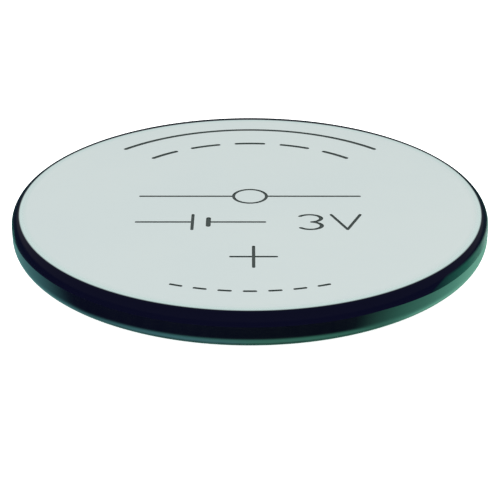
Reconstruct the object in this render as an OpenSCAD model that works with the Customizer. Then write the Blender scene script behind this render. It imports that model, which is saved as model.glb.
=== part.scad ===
// Coin cell: a drawn steel can, closed by a hemmed steel cap that a moulded ring
// seals in it. The positive face is up, and the cell rests on the negative face at
// z = 0. Each piece is one cross-section turned about the Z axis.

/* [Cell] */
// Diameter over the side wall of the can
cell_d = 20; // [16:0.5:24]
// Height between the two terminal faces
cell_h = 1.6; // [1.35:0.05:3.2]

/* [Positive can] */
// Thickness of the can's sheet
can_wall = 0.2; // [0.15:0.01:0.25]
// Outside radius of the corner round the positive face
can_corner = 0.5; // [0.36:0.02:0.6]
// Outside radius of the edge that is rolled in over the seal
crimp_r = 0.58; // [0.46:0.02:0.7]
// Turn of the rolled edge away from the upright wall
crimp_turn = 116; // [95:1:138]
// Height of the rolled edge above the negative face
crimp_lift = 0.08; // [0.05:0.01:0.12]

/* [Negative cap] */
// Thickness of the cap's sheet
cap_wall = 0.2; // [0.15:0.01:0.25]
// Height of the cap's shoulder above the negative face
step_h = 0.42; // [0.34:0.02:0.5]
// Width of the shoulder, from the terminal's side to the upright leg
shoulder_w = 0.8; // [0.6:0.05:1]
// Inside radius of the cap's bends
cap_bend = 0.08; // [0.06:0.01:0.1]
// Slit left between the two layers of the hem
hem_gap = 0.04; // [0.03:0.01:0.06]
// Length of the hem's outer layer below its fold
hem_leg = 0.3; // [0.2:0.02:0.4]

/* [Gasket] */
// Room for the gasket between the hem and the can's side wall
gasket_wall = 0.36; // [0.28:0.02:0.44]
// Room for the gasket between the hem's fold and the can's floor
gasket_foot = 0.22; // [0.16:0.02:0.28]
// Thickness of the gasket's inner lip
lip_t = 0.25; // [0.2:0.01:0.3]
// Height of the inner lip above the can's floor
lip_h = 0.42; // [0.34:0.02:0.5]
// Width of the gasket that shows inside the rolled edge
gasket_show = 0.1; // [0.06:0.01:0.14]

/* [Electrodes] */
// Thickness of the lithium disc
lithium_t = 0.3; // [0.2:0.02:0.4]
// Distance from the edge of the lithium disc to the side of the terminal
lithium_margin = 0.45; // [0.35:0.05:0.6]
// Thickness of the separator
separator_t = 0.12; // [0.08:0.01:0.16]
// Height of the separator's turned-up edge
separator_brim = 0.48; // [0.38:0.02:0.58]
// Thickness of the cathode ring's sheet
ring_wall = 0.15; // [0.1:0.01:0.2]
// Width of the cathode ring's flange on the can's floor
ring_flange = 0.7; // [0.5:0.05:0.9]
// Distance from the ring's free edge to the pellet's free face
ring_setback = 0.18; // [0.12:0.02:0.24]
// Inside radius of the bends in the ring and the separator
inner_bend = 0.04; // [0.03:0.01:0.06]
// Chamfer on the pellet's free edge
pellet_chamfer = 0.08; // [0.04:0.01:0.12]

/* [Fits] */
// Gap kept between neighbours that are pressed or squeezed together
seat_gap = 0.01; // [0.006:0.002:0.014]
// Gap between the separator's edge and the inside of the terminal's side
separator_gap = 0.03; // [0.02:0.01:0.06]
// Gap between the cathode ring and the separator's edge
ring_gap = 0.02; // [0.01:0.01:0.04]

/* [Hidden] */

// Sides of a full circle, and stretches of an arc that a polygon follows
$fn = 128;
arc_steps = 8;

// Can: inside faces, and the centres of its corner and of its rolled edge
cell_r = cell_d / 2;
wall_in_r = cell_r - can_wall;
floor_z = cell_h - can_wall;
corner_c = [cell_r - can_corner, cell_h - can_corner];
crimp_c = [cell_r - crimp_r, crimp_lift + crimp_r];
mouth_r = crimp_c[0] + crimp_r * cos(crimp_turn);

// Cap: the leg stands off the can's wall by the hem and the gasket's room
leg_r = wall_in_r - gasket_wall - cap_wall - hem_gap;
terminal_r = leg_r - shoulder_w;
terminal_in_r = terminal_r - cap_wall;
shoulder_in_z = step_h + cap_wall;
hem_c = [leg_r + hem_gap / 2, floor_z - gasket_foot - cap_wall - hem_gap / 2];

// A bend takes at most this share of the straight stretches that it joins
bend_share = 0.45;
step_bend = min(cap_bend, (step_h - cap_wall) * bend_share);
rim_bend = min(cap_bend, (hem_c[1] - shoulder_in_z) * bend_share);
terminal_c = [terminal_in_r - step_bend, cap_wall + step_bend];
step_c = [terminal_r + step_bend, step_h - step_bend];
rim_c = [leg_r - cap_wall - rim_bend, shoulder_in_z + rim_bend];

// Gasket: inner lip, and the tongue that shows between the rolled edge and the cap
lip_in_r = leg_r - cap_wall - lip_t;
lip_z = floor_z - lip_h;
tongue = [mouth_r - gasket_show, crimp_lift + can_wall];

// Electrodes, stacked from the inside of the terminal up to the can's floor
separator_z = cap_wall + lithium_t;
pellet_z = separator_z + separator_t;
separator_r = terminal_in_r - separator_gap;
separator_c = [separator_r - separator_t - inner_bend, pellet_z + inner_bend];
ring_r = separator_r - separator_t - ring_gap;
ring_c = [ring_r - ring_wall - inner_bend, floor_z - ring_wall - inner_bend];
pellet_r = ring_r - ring_wall - seat_gap;

// Colours
steel = [0.80, 0.85, 0.85];
cap_steel = [0.72, 0.74, 0.75];
ring_steel = [0.60, 0.62, 0.64];
gasket_black = [0.10, 0.11, 0.12];
pellet_black = [0.16, 0.16, 0.17];
fleece_white = [0.93, 0.93, 0.90];
lithium_grey = [0.66, 0.67, 0.70];

// Points along an arc about a centre
function arc(centre, r, from, to) =
    [for (i = [0 : arc_steps])
        let (a = from + (to - from) * i / arc_steps)
        centre + r * [cos(a), sin(a)]];

// Straight stretch of sheet between two opposite corners of its section
module strip(low, high) {
    translate(low)
        square(high - low);
}

// Bent stretch of sheet: a ring sector about a centre, between two angles
module bend(centre, r_in, r_out, from, to) {
    translate(centre)
        intersection() {
            difference() {
                circle(r_out);
                circle(r_in);
            }
            polygon(concat([[0, 0]], arc([0, 0], 2 * r_out, from, to)));
        }
}

// Section of the can, made thicker by grow on both faces and at its edge
module can_section(grow = 0) {
    edge_turn = crimp_turn + grow / crimp_r * 180 / PI;
    strip([0, floor_z - grow], [corner_c[0], cell_h + grow]);
    bend(corner_c, can_corner - can_wall - grow, can_corner + grow, 0, 90);
    strip([wall_in_r - grow, crimp_c[1]], [cell_r + grow, corner_c[1]]);
    bend(crimp_c, crimp_r - can_wall - grow, crimp_r + grow, -edge_turn, 0);
}

// Section of the cap from the terminal out to the hem, made thicker by grow
module cap_section(grow = 0) {
    step_out = step_bend + cap_wall + grow;
    rim_out = rim_bend + cap_wall + grow;
    hem_in = hem_gap / 2 - grow;
    hem_out = hem_gap / 2 + cap_wall + grow;
    strip([0, -grow], [terminal_c[0], cap_wall + grow]);
    bend(terminal_c, step_bend - grow, step_out, -90, 0);
    strip([terminal_in_r - grow, terminal_c[1]], [terminal_r + grow, step_c[1]]);
    bend(step_c, step_bend - grow, step_out, 90, 180);
    strip([step_c[0], step_h - grow], [rim_c[0], shoulder_in_z + grow]);
    bend(rim_c, rim_bend - grow, rim_out, -90, 0);
    strip([leg_r - cap_wall - grow, rim_c[1]], [leg_r + grow, hem_c[1]]);
    bend(hem_c, hem_in, hem_out, 0, 180);
    strip([hem_c[0] + hem_in, hem_c[1] - hem_leg - grow], [hem_c[0] + hem_out, hem_c[1]]);
}

// The slit between the hem's two layers, which nothing fills
module hem_slit() {
    strip([leg_r, hem_c[1] - hem_leg - seat_gap], [leg_r + hem_gap, hem_c[1] + cap_wall / 2]);
}

// Section of the cathode ring, made thicker by grow
module ring_section(grow = 0) {
    bend_out = inner_bend + ring_wall + grow;
    strip([ring_r - ring_wall - grow, pellet_z + ring_setback - grow], [ring_r + grow, ring_c[1]]);
    bend(ring_c, inner_bend - grow, bend_out, 0, 90);
    strip([ring_r - ring_flange - grow, floor_z - ring_wall - grow], [ring_c[0], floor_z + grow]);
}

// Drawn steel can: flat face, side wall and the edge rolled in over the seal
module positive_can() {
    color(steel)
        rotate_extrude()
            can_section();
}

// Drawn steel cap: flat terminal, step, shoulder and hemmed leg
module negative_cap() {
    color(cap_steel)
        rotate_extrude()
            cap_section();
}

// Moulded ring: it fills what the can and the cap's hem leave between them.
// Its outline runs inside their sheets, which are then cut away with a gap.
module sealing_gasket() {
    can_mid = can_wall / 2;
    cap_mid = cap_wall / 2;
    outline = concat(
        arc(corner_c, can_corner - can_mid, 90, 0),
        arc(crimp_c, crimp_r - can_mid, 0, -crimp_turn),
        [tongue, [tongue[0], step_h + cap_mid]],
        arc(rim_c, rim_bend + cap_mid, -90, 0),
        [[leg_r - cap_mid, lip_z], [lip_in_r, lip_z], [lip_in_r, floor_z + can_mid]]
    );
    color(gasket_black)
        rotate_extrude()
            difference() {
                polygon(outline);
                can_section(seat_gap);
                cap_section(seat_gap);
                hem_slit();
            }
}

// Pressed steel ring of L section that carries the pellet on the can's floor
module cathode_ring() {
    color(ring_steel)
        rotate_extrude()
            ring_section();
}

// Pressed tablet with a rebate for the ring
module cathode_pellet() {
    color(pellet_black)
        rotate_extrude()
            difference() {
                polygon([
                    [0, pellet_z],
                    [pellet_r - pellet_chamfer, pellet_z],
                    [pellet_r, pellet_z + pellet_chamfer],
                    [pellet_r, floor_z],
                    [0, floor_z]
                ]);
                ring_section(seat_gap);
            }
}

// Fleece disc between the electrodes, with its edge turned up round the pellet
module separator() {
    color(fleece_white)
        rotate_extrude() {
            strip([0, separator_z], [separator_c[0], pellet_z]);
            bend(separator_c, inner_bend, inner_bend + separator_t, -90, 0);
            strip([separator_r - separator_t, separator_c[1]],
                  [separator_r, separator_z + separator_brim]);
        }
}

// Lithium disc pressed onto the inside of the terminal
module lithium_anode() {
    color(lithium_grey)
        translate([0, 0, cap_wall])
            cylinder(h = lithium_t, r = terminal_in_r - lithium_margin);
}

positive_can();
negative_cap();
sealing_gasket();
cathode_ring();
cathode_pellet();
separator();
lithium_anode();
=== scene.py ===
# Lithium coin cell on a plain pale floor, put together from its negative cap upwards.
# Pieces are drawn in millimetres in the CAD's frame, and finish_piece brings each to metres.
import math

import bmesh
import bpy
from mathutils import Matrix, Vector


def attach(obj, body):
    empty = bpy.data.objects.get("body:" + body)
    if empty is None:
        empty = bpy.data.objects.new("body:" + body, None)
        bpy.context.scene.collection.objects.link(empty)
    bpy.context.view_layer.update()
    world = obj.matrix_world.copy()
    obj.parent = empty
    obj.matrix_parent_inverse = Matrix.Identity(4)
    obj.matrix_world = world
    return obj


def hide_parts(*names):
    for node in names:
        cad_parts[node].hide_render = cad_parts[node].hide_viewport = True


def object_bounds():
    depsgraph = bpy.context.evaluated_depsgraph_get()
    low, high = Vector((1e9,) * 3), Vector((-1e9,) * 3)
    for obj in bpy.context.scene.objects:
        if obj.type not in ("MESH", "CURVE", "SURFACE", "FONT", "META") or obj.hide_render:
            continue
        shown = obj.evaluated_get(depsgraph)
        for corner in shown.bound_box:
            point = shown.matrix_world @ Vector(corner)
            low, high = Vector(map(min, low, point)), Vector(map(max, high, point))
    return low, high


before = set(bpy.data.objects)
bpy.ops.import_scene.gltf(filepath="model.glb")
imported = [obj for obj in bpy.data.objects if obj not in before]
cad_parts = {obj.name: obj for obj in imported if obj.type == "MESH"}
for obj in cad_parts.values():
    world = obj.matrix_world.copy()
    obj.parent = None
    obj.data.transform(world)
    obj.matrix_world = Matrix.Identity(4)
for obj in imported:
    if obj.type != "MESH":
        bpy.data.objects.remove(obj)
cad_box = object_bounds()

# Negative cap: the lower terminal, pressed from 0.2 mm stainless sheet. It steps up to a
# shoulder, and its upright leg is folded back on itself into a hem that the can closes on.
to_metres = 0.001
cap_wall = 0.2
step_h = 0.42
cap_bend = 0.08
terminal_r = 8.4
leg_r = 9.2
hem_gap = 0.04
hem_leg = 0.3
hem_r = leg_r + hem_gap / 2
hem_z = 0.96
hem_out_r = hem_r + hem_gap / 2 + cap_wall
shoulder_z = step_h + cap_wall
rim_bend_r = leg_r - cap_wall - cap_bend
rim_bend_z = shoulder_z + cap_bend
flat_r = terminal_r - cap_wall - cap_bend
# Each flat keeps a narrow strip beside its bend, where the bend's shading ends.
flat_edge = 0.2
# Sections are bent every few degrees and spun in even steps. Points this close become one.
bend_step = 6
steps_round = 256
weld_reach = 1e-5
crease_angle = math.radians(30)


def linear(hex_code):
    """Linear colour of an sRGB hex value, with full alpha."""
    channels = [int(hex_code[i:i + 2], 16) / 255 for i in (0, 2, 4)]
    return [c / 12.92 if c < 0.04045 else ((c + 0.055) / 1.055) ** 2.4 for c in channels] + [1]


def add_node(tree, kind, sockets=None, **settings):
    """Adds a node with its settings. Its sockets, by name or number, get values, nodes or outputs."""
    made = tree.nodes.new(kind)
    for setting, value in settings.items():
        setattr(made, setting, value)
    for name, value in (sockets or {}).items():
        if isinstance(name, int):
            socket = made.inputs[name]
        else:
            socket = next(s for s in made.inputs if s.enabled and s.name == name)
        if isinstance(value, bpy.types.Node):
            value = next(s for s in value.outputs if s.enabled)
        if isinstance(value, bpy.types.NodeSocket):
            tree.links.new(value, socket)
        else:
            socket.default_value = value
    return made


def new_material(name, **sockets):
    """A material with some of its shader's own sockets set, and the point in millimetres."""
    material = bpy.data.materials.new(name)
    material.use_nodes = True
    tree = material.node_tree
    shader = tree.nodes["Principled BSDF"]
    for socket, value in sockets.items():
        shader.inputs[socket.replace("_", " ")].default_value = value
    place = add_node(tree, "ShaderNodeTexCoord")
    point = add_node(tree, "ShaderNodeVectorMath",
                     {"Vector": place.outputs["Object"], "Scale": 1 / to_metres}, operation="SCALE")
    return material, tree, shader, point


def dress(tree, shader, **looks):
    """Links what was worked out for a surface to the shader's sockets."""
    for socket, value in looks.items():
        output = next(s for s in value.outputs if s.enabled)
        tree.links.new(output, shader.inputs[socket.replace("_", " ")])


def run(section, r, z):
    """Draws a straight line of a section, from the point drawn last to a radius and height."""
    point = section.verts.new((r, 0, z))
    section.verts.ensure_lookup_table()
    if len(section.verts) > 1:
        section.edges.new((section.verts[-2], point))


def bend(section, r, z, turn):
    """Draws an arc of a section about a centre. A positive turn, in degrees, is clockwise."""
    section.verts.ensure_lookup_table()
    bmesh.ops.spin(section, geom=[section.verts[-1]], cent=(r, 0, z), axis=(0, 1, 0),
                   angle=math.radians(turn), steps=math.ceil(abs(turn) / bend_step))


def spin_up(section):
    """Closes a section, unless it starts on the axis, and spins it about Z into a closed skin."""
    section.verts.ensure_lookup_table()
    if section.verts[0].co.x > 0:
        section.edges.new((section.verts[-1], section.verts[0]))
    bmesh.ops.remove_doubles(section, verts=section.verts, dist=weld_reach)
    bmesh.ops.spin(section, geom=section.verts[:] + section.edges[:], axis=(0, 0, 1),
                   angle=2 * math.pi, steps=steps_round, use_merge=True)
    bmesh.ops.remove_doubles(section, verts=section.verts, dist=weld_reach)
    bmesh.ops.recalc_face_normals(section, faces=section.faces)


def to_object(shape, name):
    """Writes a bmesh to an object of its own."""
    mesh = bpy.data.meshes.new(name)
    shape.to_mesh(mesh)
    shape.free()
    made = bpy.data.objects.new(name, mesh)
    bpy.context.scene.collection.objects.link(made)
    return made


def finish_piece(piece, node, slot, *materials):
    """Brings a piece to metres, smooths all but its creases, dresses it and sets it in the frame."""
    piece.data.transform(Matrix.Scale(to_metres, 4))
    for number, material in enumerate(materials):
        if number == len(piece.data.materials):
            piece.data.materials.append(None)
        piece.data.materials[number] = material
    piece.data.shade_smooth()
    piece.data.set_sharp_from_angle(angle=crease_angle)
    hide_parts(node)
    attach(piece, "root")


# Stainless sheet, tumbled: a fine even matte that spreads a highlight without a direction.
# Its pits of 0.03 mm are drawn at 0.12 mm, so that they show.
pit_w = 0.12
pit_depth = 0.01
cap_haze_w = 5.0
tumbled_steel, tree, shader, point = new_material("stainless_steel_tumbled", Metallic=1.0)
pits = add_node(tree, "ShaderNodeTexNoise", {"Vector": point, "Scale": 1 / pit_w, "Detail": 3.0})
haze = add_node(tree, "ShaderNodeTexNoise", {"Vector": point, "Scale": 1 / cap_haze_w, "Detail": 2.0})
dress(tree, shader,
      Base_Color=add_node(tree, "ShaderNodeMix", {"Factor": haze, "A": linear("B9C0C1"),
                                                  "B": linear("C8CFCF")}, data_type="RGBA"),
      Roughness=add_node(tree, "ShaderNodeMapRange", {"Value": pits, "To Min": 0.32, "To Max": 0.44}),
      Normal=add_node(tree, "ShaderNodeBump", {"Height": pits, "Strength": 0.3,
                                               "Distance": pit_depth * to_metres}))

section = bmesh.new()
run(section, 0, 0)
run(section, flat_r - flat_edge, 0)
run(section, flat_r, 0)
bend(section, flat_r, cap_wall + cap_bend, -90)
run(section, terminal_r, step_h - cap_bend)
bend(section, terminal_r + cap_bend, step_h - cap_bend, 90)
run(section, rim_bend_r, step_h)
bend(section, rim_bend_r, rim_bend_z, -90)
run(section, leg_r, hem_z)
bend(section, hem_r, hem_z, 180)
run(section, hem_out_r - cap_wall, hem_z - hem_leg)
run(section, hem_out_r, hem_z - hem_leg)
run(section, hem_out_r, hem_z)
bend(section, hem_r, hem_z, -180)
run(section, leg_r - cap_wall, rim_bend_z)
bend(section, rim_bend_r, rim_bend_z, 90)
run(section, terminal_r + cap_bend, shoulder_z)
bend(section, terminal_r + cap_bend, step_h - cap_bend, -90)
run(section, terminal_r - cap_wall, cap_wall + cap_bend)
bend(section, flat_r, cap_wall + cap_bend, 90)
run(section, 0, cap_wall)
spin_up(section)
finish_piece(to_object(section, "cap_pressed"), "negative_cap", "cap_steel", tumbled_steel)

# Lithium disc: soft rolled foil pressed onto the inside of the cap. It is dull silver, with
# the streaks of the rolls and the first brownish bloom that the metal takes in dry air.
streak_l = 4.0
streaks_per_mm = 6.0
streak_depth = 0.01
bloom_w = 3.0
foil, tree, shader, point = new_material("lithium_foil_rolled", Metallic=1.0)
rolled = add_node(tree, "ShaderNodeMapping", {"Vector": point,
                                              "Scale": (1 / streak_l, streaks_per_mm, 1.0)})
streaks = add_node(tree, "ShaderNodeTexNoise", {"Vector": rolled, "Scale": 1.0, "Detail": 4.0})
bloom = add_node(tree, "ShaderNodeTexNoise", {"Vector": point, "Scale": 1 / bloom_w, "Detail": 3.0})
dress(tree, shader,
      Base_Color=add_node(tree, "ShaderNodeMix", {"Factor": bloom, "A": linear("B4B6BA"),
                                                  "B": linear("9B9894")}, data_type="RGBA"),
      Roughness=add_node(tree, "ShaderNodeMapRange", {"Value": streaks, "To Min": 0.4, "To Max": 0.6}),
      Normal=add_node(tree, "ShaderNodeBump", {"Height": streaks, "Strength": 0.3,
                                               "Distance": streak_depth * to_metres}))
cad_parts["lithium_anode"].material_slots[0].material = foil

# Separator: a disc of bonded polypropylene fleece, with its edge turned up round the pellet.
# Its fibres of 0.02 mm are drawn at 0.06 mm, so that the felted surface shows.
fibre_w = 0.06
fibre_depth = 0.02
fleece, tree, shader, point = new_material("polypropylene_fleece_bonded", IOR=1.49)
fibres = add_node(tree, "ShaderNodeTexNoise", {"Vector": point, "Scale": 1 / fibre_w, "Detail": 2.0,
                                               "Distortion": 4.0})
dress(tree, shader,
      Base_Color=add_node(tree, "ShaderNodeMix", {"Factor": fibres, "A": linear("DCDCD4"),
                                                  "B": linear("F6F6F1")}, data_type="RGBA"),
      Roughness=add_node(tree, "ShaderNodeMapRange", {"Value": fibres, "To Min": 0.95, "To Max": 0.75}),
      Normal=add_node(tree, "ShaderNodeBump", {"Height": fibres, "Strength": 0.6,
                                               "Distance": fibre_depth * to_metres}))
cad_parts["separator"].material_slots[0].material = fleece

# Cathode pellet: manganese dioxide powder with some carbon, pressed into a tablet. It is
# sooty black, with a slight sheen where the die has closed its grains. They measure 0.05 mm
# and are drawn at 0.1 mm.
grain_w = 0.1
grain_depth = 0.02
powder, tree, shader, point = new_material("manganese_dioxide_pressed", IOR=1.5)
grains = add_node(tree, "ShaderNodeTexVoronoi", {"Vector": point, "Scale": 1 / grain_w})
dress(tree, shader,
      Base_Color=add_node(tree, "ShaderNodeMix", {"Factor": grains, "A": linear("232427"),
                                                  "B": linear("35363A")}, data_type="RGBA"),
      Roughness=add_node(tree, "ShaderNodeMapRange", {"Value": grains, "To Min": 0.6, "To Max": 0.95}),
      Normal=add_node(tree, "ShaderNodeBump", {"Height": grains, "Strength": 0.5,
                                               "Distance": grain_depth * to_metres}))
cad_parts["cathode_pellet"].material_slots[0].material = powder

# Cathode ring: an L section pressed from 0.15 mm stainless strip, laid round the pellet. The
# draw leaves upright lines on its side.
lines_per_mm = 5.0
line_drift = 0.3
line_depth = 0.005
pressed_steel, tree, shader, point = new_material("stainless_steel_pressed", Metallic=1.0)
drawn = add_node(tree, "ShaderNodeMapping", {"Vector": point,
                                             "Scale": (lines_per_mm, lines_per_mm, line_drift)})
lines = add_node(tree, "ShaderNodeTexNoise", {"Vector": drawn, "Scale": 1.0, "Detail": 3.0})
dress(tree, shader,
      Base_Color=add_node(tree, "ShaderNodeMix", {"Factor": lines, "A": linear("A2A6AA"),
                                                  "B": linear("B6BABD")}, data_type="RGBA"),
      Roughness=add_node(tree, "ShaderNodeMapRange", {"Value": lines, "To Min": 0.25, "To Max": 0.4}),
      Normal=add_node(tree, "ShaderNodeBump", {"Height": lines, "Strength": 0.3,
                                               "Distance": line_depth * to_metres}))
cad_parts["cathode_ring"].material_slots[0].material = pressed_steel

# Gasket: a ring moulded in black polypropylene. The hem sits in it as in a channel, and the
# rolled edge of the can squeezes it against the cap, where a narrow tongue of it shows.
can_wall = 0.2
corner_r = 0.5
crimp_r = 0.58
crimp_turn = 116
crimp_lift = 0.08
crimp_z = crimp_lift + crimp_r
seat_gap = 0.01
lip_r = 8.75
lip_z = 0.98
tongue_r, tongue_z = 9.066, 0.28
cell_r = cad_box[1].x / to_metres
cell_h = cad_box[1].z / to_metres
roll_r = cell_r - crimp_r
bore_r = cell_r - can_wall - seat_gap
rim_bend_out = cap_bend + cap_wall + seat_gap
hem_bend_out = hem_gap / 2 + cap_wall + seat_gap
edge_turn = crimp_turn + math.degrees(seat_gap / crimp_r)
tongue_turn = math.degrees(math.acos((tongue_r - rim_bend_r) / rim_bend_out))

# Moulded black plastic: the fine spark-eroded texture of the mould keeps the gloss off it.
spark_w = 0.08
spark_depth = 0.01
moulded_black, tree, shader, point = new_material("polypropylene_moulded_black", IOR=1.49)
erosion = add_node(tree, "ShaderNodeTexNoise", {"Vector": point, "Scale": 1 / spark_w, "Detail": 2.0})
dress(tree, shader,
      Base_Color=add_node(tree, "ShaderNodeMix", {"Factor": erosion, "A": linear("141618"),
                                                  "B": linear("1F2225")}, data_type="RGBA"),
      Roughness=add_node(tree, "ShaderNodeMapRange", {"Value": erosion, "To Min": 0.35, "To Max": 0.55}),
      Normal=add_node(tree, "ShaderNodeBump", {"Height": erosion, "Strength": 0.3,
                                               "Distance": spark_depth * to_metres}))

section = bmesh.new()
run(section, tongue_r, rim_bend_z - rim_bend_out * math.sin(math.radians(tongue_turn)))
bend(section, rim_bend_r, rim_bend_z, -tongue_turn)
run(section, leg_r + seat_gap, hem_z - hem_leg - seat_gap)
run(section, hem_out_r + seat_gap, hem_z - hem_leg - seat_gap)
run(section, hem_out_r + seat_gap, hem_z)
bend(section, hem_r, hem_z, math.degrees(math.asin((lip_z - hem_z) / hem_bend_out)) - 180)
run(section, lip_r, lip_z)
run(section, lip_r, cell_h - can_wall - seat_gap)
run(section, cell_r - corner_r, cell_h - can_wall - seat_gap)
bend(section, cell_r - corner_r, cell_h - corner_r, 90)
run(section, bore_r, crimp_z)
bend(section, roll_r, crimp_z, edge_turn)
run(section, roll_r + (crimp_r - can_wall / 2) * math.cos(math.radians(edge_turn)),
    crimp_z - (crimp_r - can_wall / 2) * math.sin(math.radians(edge_turn)))
run(section, tongue_r, tongue_z)
spin_up(section)
finish_piece(to_object(section, "gasket_moulded"), "sealing_gasket", "gasket_polypropylene",
             moulded_black)

# Positive can: the upper terminal, drawn as a shallow cup from 0.2 mm stainless sheet. It is
# put on last, and its edge is then rolled in under the gasket. Its face is bright and satin.
level_reach = 1e-4
section = bmesh.new()
run(section, 0, cell_h)
run(section, cell_r - corner_r - flat_edge, cell_h)
run(section, cell_r - corner_r, cell_h)
bend(section, cell_r - corner_r, cell_h - corner_r, 90)
run(section, cell_r, crimp_z)
bend(section, roll_r, crimp_z, crimp_turn)
run(section, roll_r + (crimp_r - can_wall) * math.cos(math.radians(crimp_turn)),
    crimp_z - (crimp_r - can_wall) * math.sin(math.radians(crimp_turn)))
bend(section, roll_r, crimp_z, -crimp_turn)
run(section, cell_r - can_wall, cell_h - corner_r)
bend(section, cell_r - corner_r, cell_h - corner_r, -90)
run(section, 0, cell_h - can_wall)
spin_up(section)
face_fan = [face for face in section.faces
            if all(vert.co.z > cell_h - level_reach
                   and vert.co.xy.length < cell_r - corner_r - flat_edge / 2
                   for vert in face.verts)]
bmesh.ops.dissolve_faces(section, faces=face_fan)
can = to_object(section, "can_drawn")

# Marks on the face: strokes 0.03 mm deep with round ends, cut by a rotary engraving tool. They
# are the polarity and the voltage, and plain wiring signs for direct current, source and cell.
groove_depth = 0.03
fine_stroke = 0.13
bold_stroke = 0.2
# A stroke's ends are rounded by this share of its width, and its arcs drawn in short steps.
end_round = 0.49
end_steps = 4
arc_step = 0.1
least_steps = 6


def stroke_end(tool, x, y, heading, width):
    """Adds the end face of a stroke at a point of the cell's face, square to its heading."""
    side = Vector((-math.sin(heading), math.cos(heading), 0)) * width / 2
    deep = Vector((0, 0, groove_depth))
    middle = Vector((x, y, cell_h))
    return tool.faces.new([tool.verts.new(middle + corner) for corner in
                           (side - deep, side + deep, deep - side, -side - deep)])


def round_ends(tool, verts, width):
    """Rounds the four upright edges at the two ends of a stroke."""
    upright = [edge for vert in verts for edge in vert.link_edges
               if edge.other_vert(vert).co.z > vert.co.z + groove_depth]
    bmesh.ops.bevel(tool, geom=upright, offset=width * end_round, segments=end_steps, profile=0.5,
                    affect="EDGES", material=-1)


def straight_stroke(tool, start, end, width=fine_stroke):
    """Adds a straight stroke between two points of the face, to the middle of its round ends."""
    along = Vector(end) - Vector(start)
    reach = along.normalized() * width / 2
    first = Vector(start) - reach
    face = stroke_end(tool, first.x, first.y, math.atan2(along.y, along.x), width)
    last = [part for part in bmesh.ops.extrude_face_region(tool, geom=[face])["geom"]
            if isinstance(part, bmesh.types.BMVert)]
    bmesh.ops.translate(tool, verts=last, vec=(along + 2 * reach).to_3d())
    round_ends(tool, face.verts[:] + last, width)


def arc_stroke(tool, centre, radius, first, last, width=fine_stroke):
    """Adds a stroke along an arc about a point of the face, anticlockwise between two angles."""
    turn = math.radians(last - first)
    start = math.radians(first)
    face = stroke_end(tool, centre[0] + radius * math.cos(start), centre[1] + radius * math.sin(start),
                      start + math.pi / 2, width)
    corners = face.verts[:]
    closed = last - first == 360
    swept = corners + face.edges[:] if closed else [face]
    made = bmesh.ops.spin(tool, geom=swept, cent=(*centre, 0), axis=(0, 0, 1), angle=turn,
                          steps=max(least_steps, math.ceil(radius * turn / arc_step)),
                          use_merge=closed)
    if closed:
        tool.faces.remove(face)
    else:
        round_ends(tool, corners + [part for part in made["geom_last"]
                                    if isinstance(part, bmesh.types.BMVert)], width)


def dashes(tool, count, radius, middle, pitch, half, width=fine_stroke):
    """Adds a row of dashes along an arc about the cell's axis, evenly to both sides of an angle."""
    for number in range(count):
        angle = middle + pitch * (number - (count - 1) / 2)
        arc_stroke(tool, (0, 0), radius, angle - half, angle + half, width)


# Direct current, along the back edge: a line over five dashes. Angles are in degrees.
back_angle = 90
line_r, line_half = 8.0, 46
dash_r, dash_pitch, dash_half = 6.3, 19, 6.5
tool = bmesh.new()
arc_stroke(tool, (0, 0), line_r, back_angle - line_half, back_angle + line_half, bold_stroke)
dashes(tool, 5, dash_r, back_angle, dash_pitch, dash_half, bold_stroke)
# A source, across the middle: a circle on a line.
sign_row, sign_rise, sign_reach = 0.36, 0.7, 4.65
arc_stroke(tool, (0, sign_row), sign_rise, 0, 360)
for side in (-1, 1):
    straight_stroke(tool, (side * sign_rise, sign_row), (side * sign_reach, sign_row))
# A cell, in the row of the voltage: a long fine plate and a short bold one, each on a lead.
voltage_row = -2.2
long_plate, short_plate, lead_end = -2.35, -1.7, 0.6
straight_stroke(tool, (-sign_reach, voltage_row), (long_plate, voltage_row))
straight_stroke(tool, (long_plate, voltage_row - sign_rise), (long_plate, voltage_row + sign_rise))
straight_stroke(tool, (short_plate, voltage_row - sign_rise / 2),
                (short_plate, voltage_row + sign_rise / 2), bold_stroke)
straight_stroke(tool, (short_plate, voltage_row), (lead_end, voltage_row))
# The voltage: a three of two bowls, widened afterwards, and a V.
bowl_r = sign_rise / 2
bowl_turn = 155
figure_x, figure_stretch = 2.45, 1.35
letter_x, letter_half = 3.95, 0.6
drawn = set(tool.verts)
for bowl, first, last in ((1, -90, bowl_turn), (-1, -bowl_turn, 90)):
    arc_stroke(tool, (figure_x, voltage_row + bowl * bowl_r), bowl_r, first, last)
bmesh.ops.scale(tool, vec=(figure_stretch, 1, 1), space=Matrix.Translation((-figure_x, 0, 0)),
                verts=[vert for vert in tool.verts if vert not in drawn])
for side in (-1, 1):
    straight_stroke(tool, (letter_x + side * letter_half, voltage_row + sign_rise),
                    (letter_x, voltage_row - sign_rise))
# The polarity: a plus.
plus_x, plus_y, plus_half = 0.14, -5.35, 0.89
straight_stroke(tool, (plus_x - plus_half, plus_y), (plus_x + plus_half, plus_y))
straight_stroke(tool, (plus_x, plus_y - plus_half), (plus_x, plus_y + plus_half))
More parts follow.
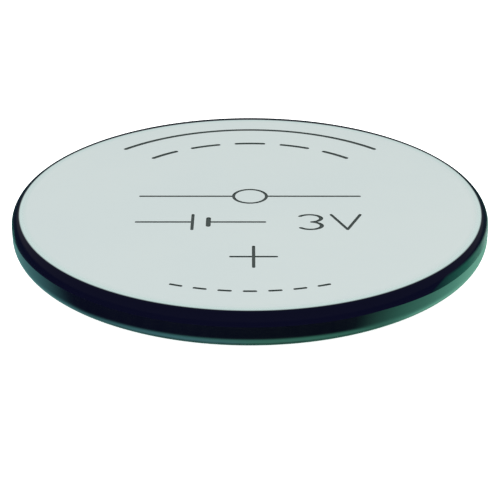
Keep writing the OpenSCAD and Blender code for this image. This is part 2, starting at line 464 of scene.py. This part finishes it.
# Seven short dashes along the front edge.
front_angle = -90
front_r, front_pitch, front_half = 8.2, 6.6, 1.9
dashes(tool, 7, front_r, front_angle, front_pitch, front_half)
for face in tool.faces:
    face.material_index = 1
bmesh.ops.recalc_face_normals(tool, faces=tool.faces)
graver = to_object(tool, "graver")
for shape in (can, graver):
    shape.data.materials.append(None)
    shape.data.materials.append(None)
cut = can.modifiers.new("engraving", "BOOLEAN")
cut.operation = "DIFFERENCE"
cut.solver = "EXACT"
cut.use_self = True
cut.material_mode = "INDEX"
cut.object = graver
engraved = bpy.data.meshes.new_from_object(can.evaluated_get(bpy.context.evaluated_depsgraph_get()))
can.modifiers.clear()
can.data = engraved
bpy.data.objects.remove(graver)

# Stainless sheet, rolled and drawn: satin and nearly without grain on the face, glossier on the wall. On
# the corner a reflection of a dark room is painted: a near-black blue that ends sharply on the wall, and
# whose lower part pales to a painted teal reflection at the right and at the far left.
dark_from, dark_full = cell_r - 0.4, cell_r - 0.335
dark_low = cell_h - 0.52
rolled_steel, tree, shader, point = new_material("stainless_steel_rolled", Specular_IOR_Level=0.02)
axes = add_node(tree, "ShaderNodeSeparateXYZ", {"Vector": point})
across = add_node(tree, "ShaderNodeVectorMath", {0: point, 1: (1.0, 1.0, 0.0)}, operation="MULTIPLY")
radius = add_node(tree, "ShaderNodeVectorMath", {"Vector": across}, operation="LENGTH")
# The rolls' grain of 0.01 mm is drawn 0.08 mm wide, so that it just shows.
grains_per_mm, grain_drift = 12.0, 0.6
can_grain_depth = 0.003
can_haze_w = 6.0
rolled = add_node(tree, "ShaderNodeMapping", {"Vector": point,
                                              "Scale": (grain_drift, grains_per_mm, grain_drift)})
grain = add_node(tree, "ShaderNodeTexNoise", {"Vector": rolled, "Scale": 1.0, "Detail": 3.0})
haze = add_node(tree, "ShaderNodeTexNoise", {"Vector": point, "Scale": 1 / can_haze_w, "Detail": 2.0})
sheet = add_node(tree, "ShaderNodeMix", {"Factor": haze, "A": linear("CDD9D9"), "B": linear("D3DDDB")},
                 data_type="RGBA")
# The dark starts nearer the centre at the back than at the front and sides, as the photo shows.
# The face takes a painted green reflection over a narrow width before it.
oval_size, oval_place = (0.999, 1.016, 0.0), (-0.007, 0.16, 0.0)
reflection_w = 0.3
oval = add_node(tree, "ShaderNodeVectorMath", {0: point, 1: oval_size, 2: oval_place},
                operation="MULTIPLY_ADD")
reach = add_node(tree, "ShaderNodeVectorMath", {"Vector": oval}, operation="LENGTH")
reflection_roll_off = add_node(tree, "ShaderNodeMapRange", {"Value": reach, "From Min": dark_from - reflection_w,
                                                    "From Max": dark_full, "To Max": 0.7},
                       interpolation_type="SMOOTHSTEP")
sheet_with_reflection = add_node(tree, "ShaderNodeMix", {"Factor": reflection_roll_off, "A": sheet, "B": linear("BAD4D0")},
                     data_type="RGBA")
outward = add_node(tree, "ShaderNodeMapRange", {"Value": reach, "From Min": dark_from,
                                                "From Max": dark_full}, interpolation_type="SMOOTHSTEP")
# Its foot on the wall drops a little towards the right.
drop_from_x, drop_to_x = 5.0, 7.3
foot_drop = 0.07
foot = add_node(tree, "ShaderNodeMapRange", {"Value": axes.outputs["X"], "From Min": drop_from_x,
                                             "From Max": drop_to_x, "To Min": dark_low,
                                             "To Max": dark_low - foot_drop})
above = add_node(tree, "ShaderNodeMath", {0: axes.outputs["Z"], 1: foot}, operation="GREATER_THAN")
# The corner mask marks where the dark room's reflection is painted on, and the sheet is not metallic
# there.
corner = add_node(tree, "ShaderNodeMath", {0: outward, 1: above}, operation="MULTIPLY")
# The lowest strip of the rolled edge is painted darker in dull and bright flecks, a painted shade where
# it meets the cap and the floor.
fleck_w = 0.4
edge_shade_full, edge_shade_end = 0.3, 0.42
flecks = add_node(tree, "ShaderNodeTexNoise", {"Vector": point, "Scale": 1 / fleck_w, "Detail": 2.0})
fleck_shade = add_node(tree, "ShaderNodeMapRange", {"Value": flecks, "From Min": 0.35, "From Max": 0.65,
                                             "To Min": 0.55, "To Max": 0.82})
edge_shade = add_node(tree, "ShaderNodeMapRange", {"Value": axes.outputs["Z"],
                                                "From Min": edge_shade_full, "From Max": edge_shade_end,
                                                "To Min": fleck_shade, "To Max": 0.0})
with_edge_shade = add_node(tree, "ShaderNodeMix", {"Factor": edge_shade, "A": sheet_with_reflection, "B": linear("2F4542")},
                  data_type="RGBA")
# Towards the right, and at the far left, the dark's lower part pales to a painted teal reflection of the
# room. The teal rises from nothing to its full height, meets the dark softly, and is palest at the right
# rim, where it paints a reflection of bright surroundings.
teal_rise = 0.25
left_from_x, left_to_x = -9.25, -9.6
right_from_x, right_to_x = 6.6, 7.6
soft_below, soft_above = 0.04, 0.06
pale_from_x, pale_to_x = 6.9, 10.0
left_rise = add_node(tree, "ShaderNodeMapRange", {"Value": axes.outputs["X"], "From Min": left_from_x,
                                                  "From Max": left_to_x,
                                                  "To Min": dark_low - foot_drop,
                                                  "To Max": dark_low + teal_rise})
low_edge = add_node(tree, "ShaderNodeMapRange", {"Value": axes.outputs["X"], "From Min": right_from_x,
                                                 "From Max": right_to_x, "To Min": left_rise,
                                                 "To Max": dark_low + teal_rise},
                    interpolation_type="SMOOTHSTEP")
over_edge = add_node(tree, "ShaderNodeMath", {0: axes.outputs["Z"], 1: low_edge}, operation="SUBTRACT")
higher = add_node(tree, "ShaderNodeMapRange", {"Value": over_edge, "From Min": -soft_below,
                                               "From Max": soft_above})
rightward = add_node(tree, "ShaderNodeMapRange", {"Value": axes.outputs["X"], "From Min": pale_from_x,
                                                  "From Max": pale_to_x})
teal = add_node(tree, "ShaderNodeValToRGB", {"Fac": rightward})
teal.color_ramp.elements[0].color = linear("04101A")
teal.color_ramp.elements[1].color = linear("86A39B")
for place, colour in ((0.5, "18453B"), (0.74, "345C51")):
    teal.color_ramp.elements.new(place).color = linear(colour)
at_left = add_node(tree, "ShaderNodeMath", {0: axes.outputs["X"], 1: 0.0}, operation="LESS_THAN")
teal_part = add_node(tree, "ShaderNodeMix", {"Factor": at_left, "A": teal, "B": linear("1E4541")},
                     data_type="RGBA")
# The painted room reflection: near-black blue above, teal below.
painted_room_reflection = add_node(tree, "ShaderNodeMix", {"Factor": higher, "A": teal_part, "B": linear("07081A")},
                data_type="RGBA")
dark = add_node(tree, "ShaderNodeMix", {"Factor": corner, "A": with_edge_shade, "B": painted_room_reflection}, data_type="RGBA")
bare = add_node(tree, "ShaderNodeMapRange", {"Value": corner, "To Min": 1.0, "To Max": 0.0})
face_gloss = add_node(tree, "ShaderNodeMapRange", {"Value": grain, "To Min": 0.26, "To Max": 0.34})
wall_gloss = add_node(tree, "ShaderNodeMapRange", {"Value": grain, "To Min": 0.12, "To Max": 0.2})
wall_from, wall_full = cell_r - 0.52, cell_r - 0.42
on_wall = add_node(tree, "ShaderNodeMapRange", {"Value": radius, "From Min": wall_from,
                                                "From Max": wall_full})
gloss = add_node(tree, "ShaderNodeMix", {"Factor": on_wall, "A": face_gloss, "B": wall_gloss},
                 data_type="FLOAT")
dress(tree, shader, Base_Color=dark, Metallic=bare, Roughness=gloss,
      Normal=add_node(tree, "ShaderNodeBump", {"Height": grain, "Strength": 0.12,
                                               "Distance": can_grain_depth * to_metres}))

# Engraved steel: the cut is rough, and its faces are coloured dark green-grey, a painted shade in the
# grooves, so that the strokes read.
chatter_w = 0.1
groove_shade_steel, tree, shader, point = new_material("steel_engraved_groove_shade", IOR=1.5)
chatter = add_node(tree, "ShaderNodeTexNoise", {"Vector": point, "Scale": 1 / chatter_w, "Detail": 2.0})
dress(tree, shader,
      Base_Color=add_node(tree, "ShaderNodeMix", {"Factor": chatter, "A": linear("1E2B29"),
                                                  "B": linear("303F3C")}, data_type="RGBA"),
      Roughness=add_node(tree, "ShaderNodeMapRange", {"Value": chatter, "To Min": 0.6, "To Max": 0.8}))

finish_piece(can, "positive_can", "can_steel", rolled_steel, groove_shade_steel)
# On the level face only the strip beside the bend is smoothed. The rest is one flat plane.
level_normal = 0.9999
level_low = cell_h - 0.001
for polygon in can.data.polygons:
    if polygon.normal.z > level_normal and polygon.center.z > level_low * to_metres:
        polygon.use_smooth = polygon.center.xy.length > (cell_r - corner_r - flat_edge) * to_metres

# Floor: a sheet of white paper that the cell lies on, wide enough for every view. It is lit
# from below as a light table is, so the cell throws no shadow on it, as in the photograph.
floor_w = 600.0
floor_gap = 0.005
fibre_cloud_w = 4.0
table_top = bmesh.new()
bmesh.ops.create_grid(table_top, x_segments=2, y_segments=2, size=floor_w / 2)
bmesh.ops.translate(table_top, verts=table_top.verts, vec=(0, 0, -floor_gap))
floor = to_object(table_top, "floor")
floor.data.transform(Matrix.Scale(to_metres, 4))
paper, tree, shader, point = new_material("paper_white_uncoated", Roughness=0.9, Emission_Strength=0.9)
fibre = add_node(tree, "ShaderNodeTexNoise", {"Vector": point, "Scale": 1 / fibre_cloud_w,
                                              "Detail": 3.0})
dress(tree, shader,
      Base_Color=add_node(tree, "ShaderNodeMix", {"Factor": fibre, "A": linear("F6F6F6"),
                                                  "B": linear("F9F9F9")}, data_type="RGBA"))
shader.inputs["Emission Color"].default_value = linear("FFFFFF")
floor.data.materials.append(paper)
floor.visible_glossy = False

# Light: a white tent all round, as soft as a studio's. What the bright metal mirrors of it is
# the pale dome, and below the horizon a dark room whose floor turns teal to the sides and back.
# Its colours are levels of light, and so linear.
back_way = (0.4, 1.0, 0.0)
left_tint = (1.25, 1.0, 1.45, 1)
dome_light = (1.0, 1.0, 1.0, 1)
tent_light = (1.25, 1.25, 1.25, 1)
studio = bpy.data.worlds.new("studio")
studio.use_nodes = True
tree = studio.node_tree
tree.nodes.clear()
sky = add_node(tree, "ShaderNodeTexCoord").outputs["Generated"]
height = add_node(tree, "ShaderNodeSeparateXYZ", {"Vector": sky}).outputs["Z"]
level = add_node(tree, "ShaderNodeVectorMath", {0: sky, 1: (1.0, 1.0, 0.0)}, operation="MULTIPLY")
bearing = add_node(tree, "ShaderNodeVectorMath", {"Vector": level}, operation="NORMALIZE")
behind = add_node(tree, "ShaderNodeVectorMath", {0: bearing, 1: back_way}, operation="DOT_PRODUCT")
round_back = add_node(tree, "ShaderNodeMapRange", {"Value": behind, "From Min": -0.31, "From Max": 1.02})
shallow = add_node(tree, "ShaderNodeMapRange", {"Value": height, "From Min": -0.95, "From Max": -0.75},
                   interpolation_type="SMOOTHSTEP")
deep = add_node(tree, "ShaderNodeMapRange", {"Value": height, "From Min": -0.3, "From Max": -0.46,
                                             "To Min": 0.35, "To Max": 0.78},
                interpolation_type="SMOOTHSTEP")
paled = add_node(tree, "ShaderNodeMath", {0: shallow, 1: deep}, operation="MULTIPLY")
lit_back = add_node(tree, "ShaderNodeMath", {0: round_back, 1: paled}, operation="MULTIPLY")
lit_below = add_node(tree, "ShaderNodeMapRange", {"Value": height, "From Min": -0.62, "From Max": -0.93,
                                                  "To Max": 0.4}, interpolation_type="SMOOTHSTEP")
lit = add_node(tree, "ShaderNodeMath", {0: lit_back, 1: lit_below}, operation="MAXIMUM")
room = add_node(tree, "ShaderNodeValToRGB", {"Fac": lit})
room.color_ramp.elements[0].color = (0.003, 0.004, 0.011, 1)
room.color_ramp.elements[1].color = (0.26, 0.52, 0.4, 1)
for place, colour in ((0.28, (0.045, 0.14, 0.108, 1)), (0.45, (0.072, 0.2, 0.155, 1)),
                      (0.62, (0.122, 0.322, 0.247, 1)), (0.74, (0.2, 0.46, 0.35, 1))):
    room.color_ramp.elements.new(place).color = colour
left = add_node(tree, "ShaderNodeMapRange", {"Value": add_node(tree, "ShaderNodeSeparateXYZ",
                                                               {"Vector": bearing}).outputs["X"],
                                             "From Min": 0.2, "From Max": -0.9})
cool = add_node(tree, "ShaderNodeMix", {"Factor": left, "A": room, "B": left_tint},
                data_type="RGBA", blend_type="MULTIPLY")
horizon = add_node(tree, "ShaderNodeMapRange", {"Value": height, "From Min": 0.1, "From Max": 0.3},
                   interpolation_type="SMOOTHSTEP")
mirrored = add_node(tree, "ShaderNodeMix", {"Factor": horizon, "A": cool, "B": dome_light},
                    data_type="RGBA")
ray = add_node(tree, "ShaderNodeLightPath")
seen = add_node(tree, "ShaderNodeMix", {"Factor": ray.outputs["Is Glossy Ray"], "A": tent_light,
                                        "B": mirrored}, data_type="RGBA")
tent = add_node(tree, "ShaderNodeBackground", {"Color": seen})
add_node(tree, "ShaderNodeOutputWorld", {"Surface": tent})
bpy.context.scene.world = studio
bpy.context.scene.view_settings.view_transform = "Standard"

# Camera: a long lens held close, 60 mm from the cell and a quarter of the way up from the
# table, aimed a little under the cell's middle, as the photograph shows it.
view_angle = math.radians(25.77)
look_down = math.radians(0.66)
stand_off = 60.0
focal_length = 101.0
film_w = 36.0
clip_near = 1.0
lens = bpy.data.cameras.new("camera")
lens.lens = focal_length
lens.sensor_width = film_w
lens.clip_start = clip_near * to_metres
camera = bpy.data.objects.new("camera", lens)
camera.location = (0, -stand_off * math.cos(view_angle) * to_metres,
                   stand_off * math.sin(view_angle) * to_metres)
camera.rotation_euler = (math.pi / 2 - view_angle - look_down, 0, 0)
bpy.context.scene.collection.objects.link(camera)
bpy.context.scene.camera = camera
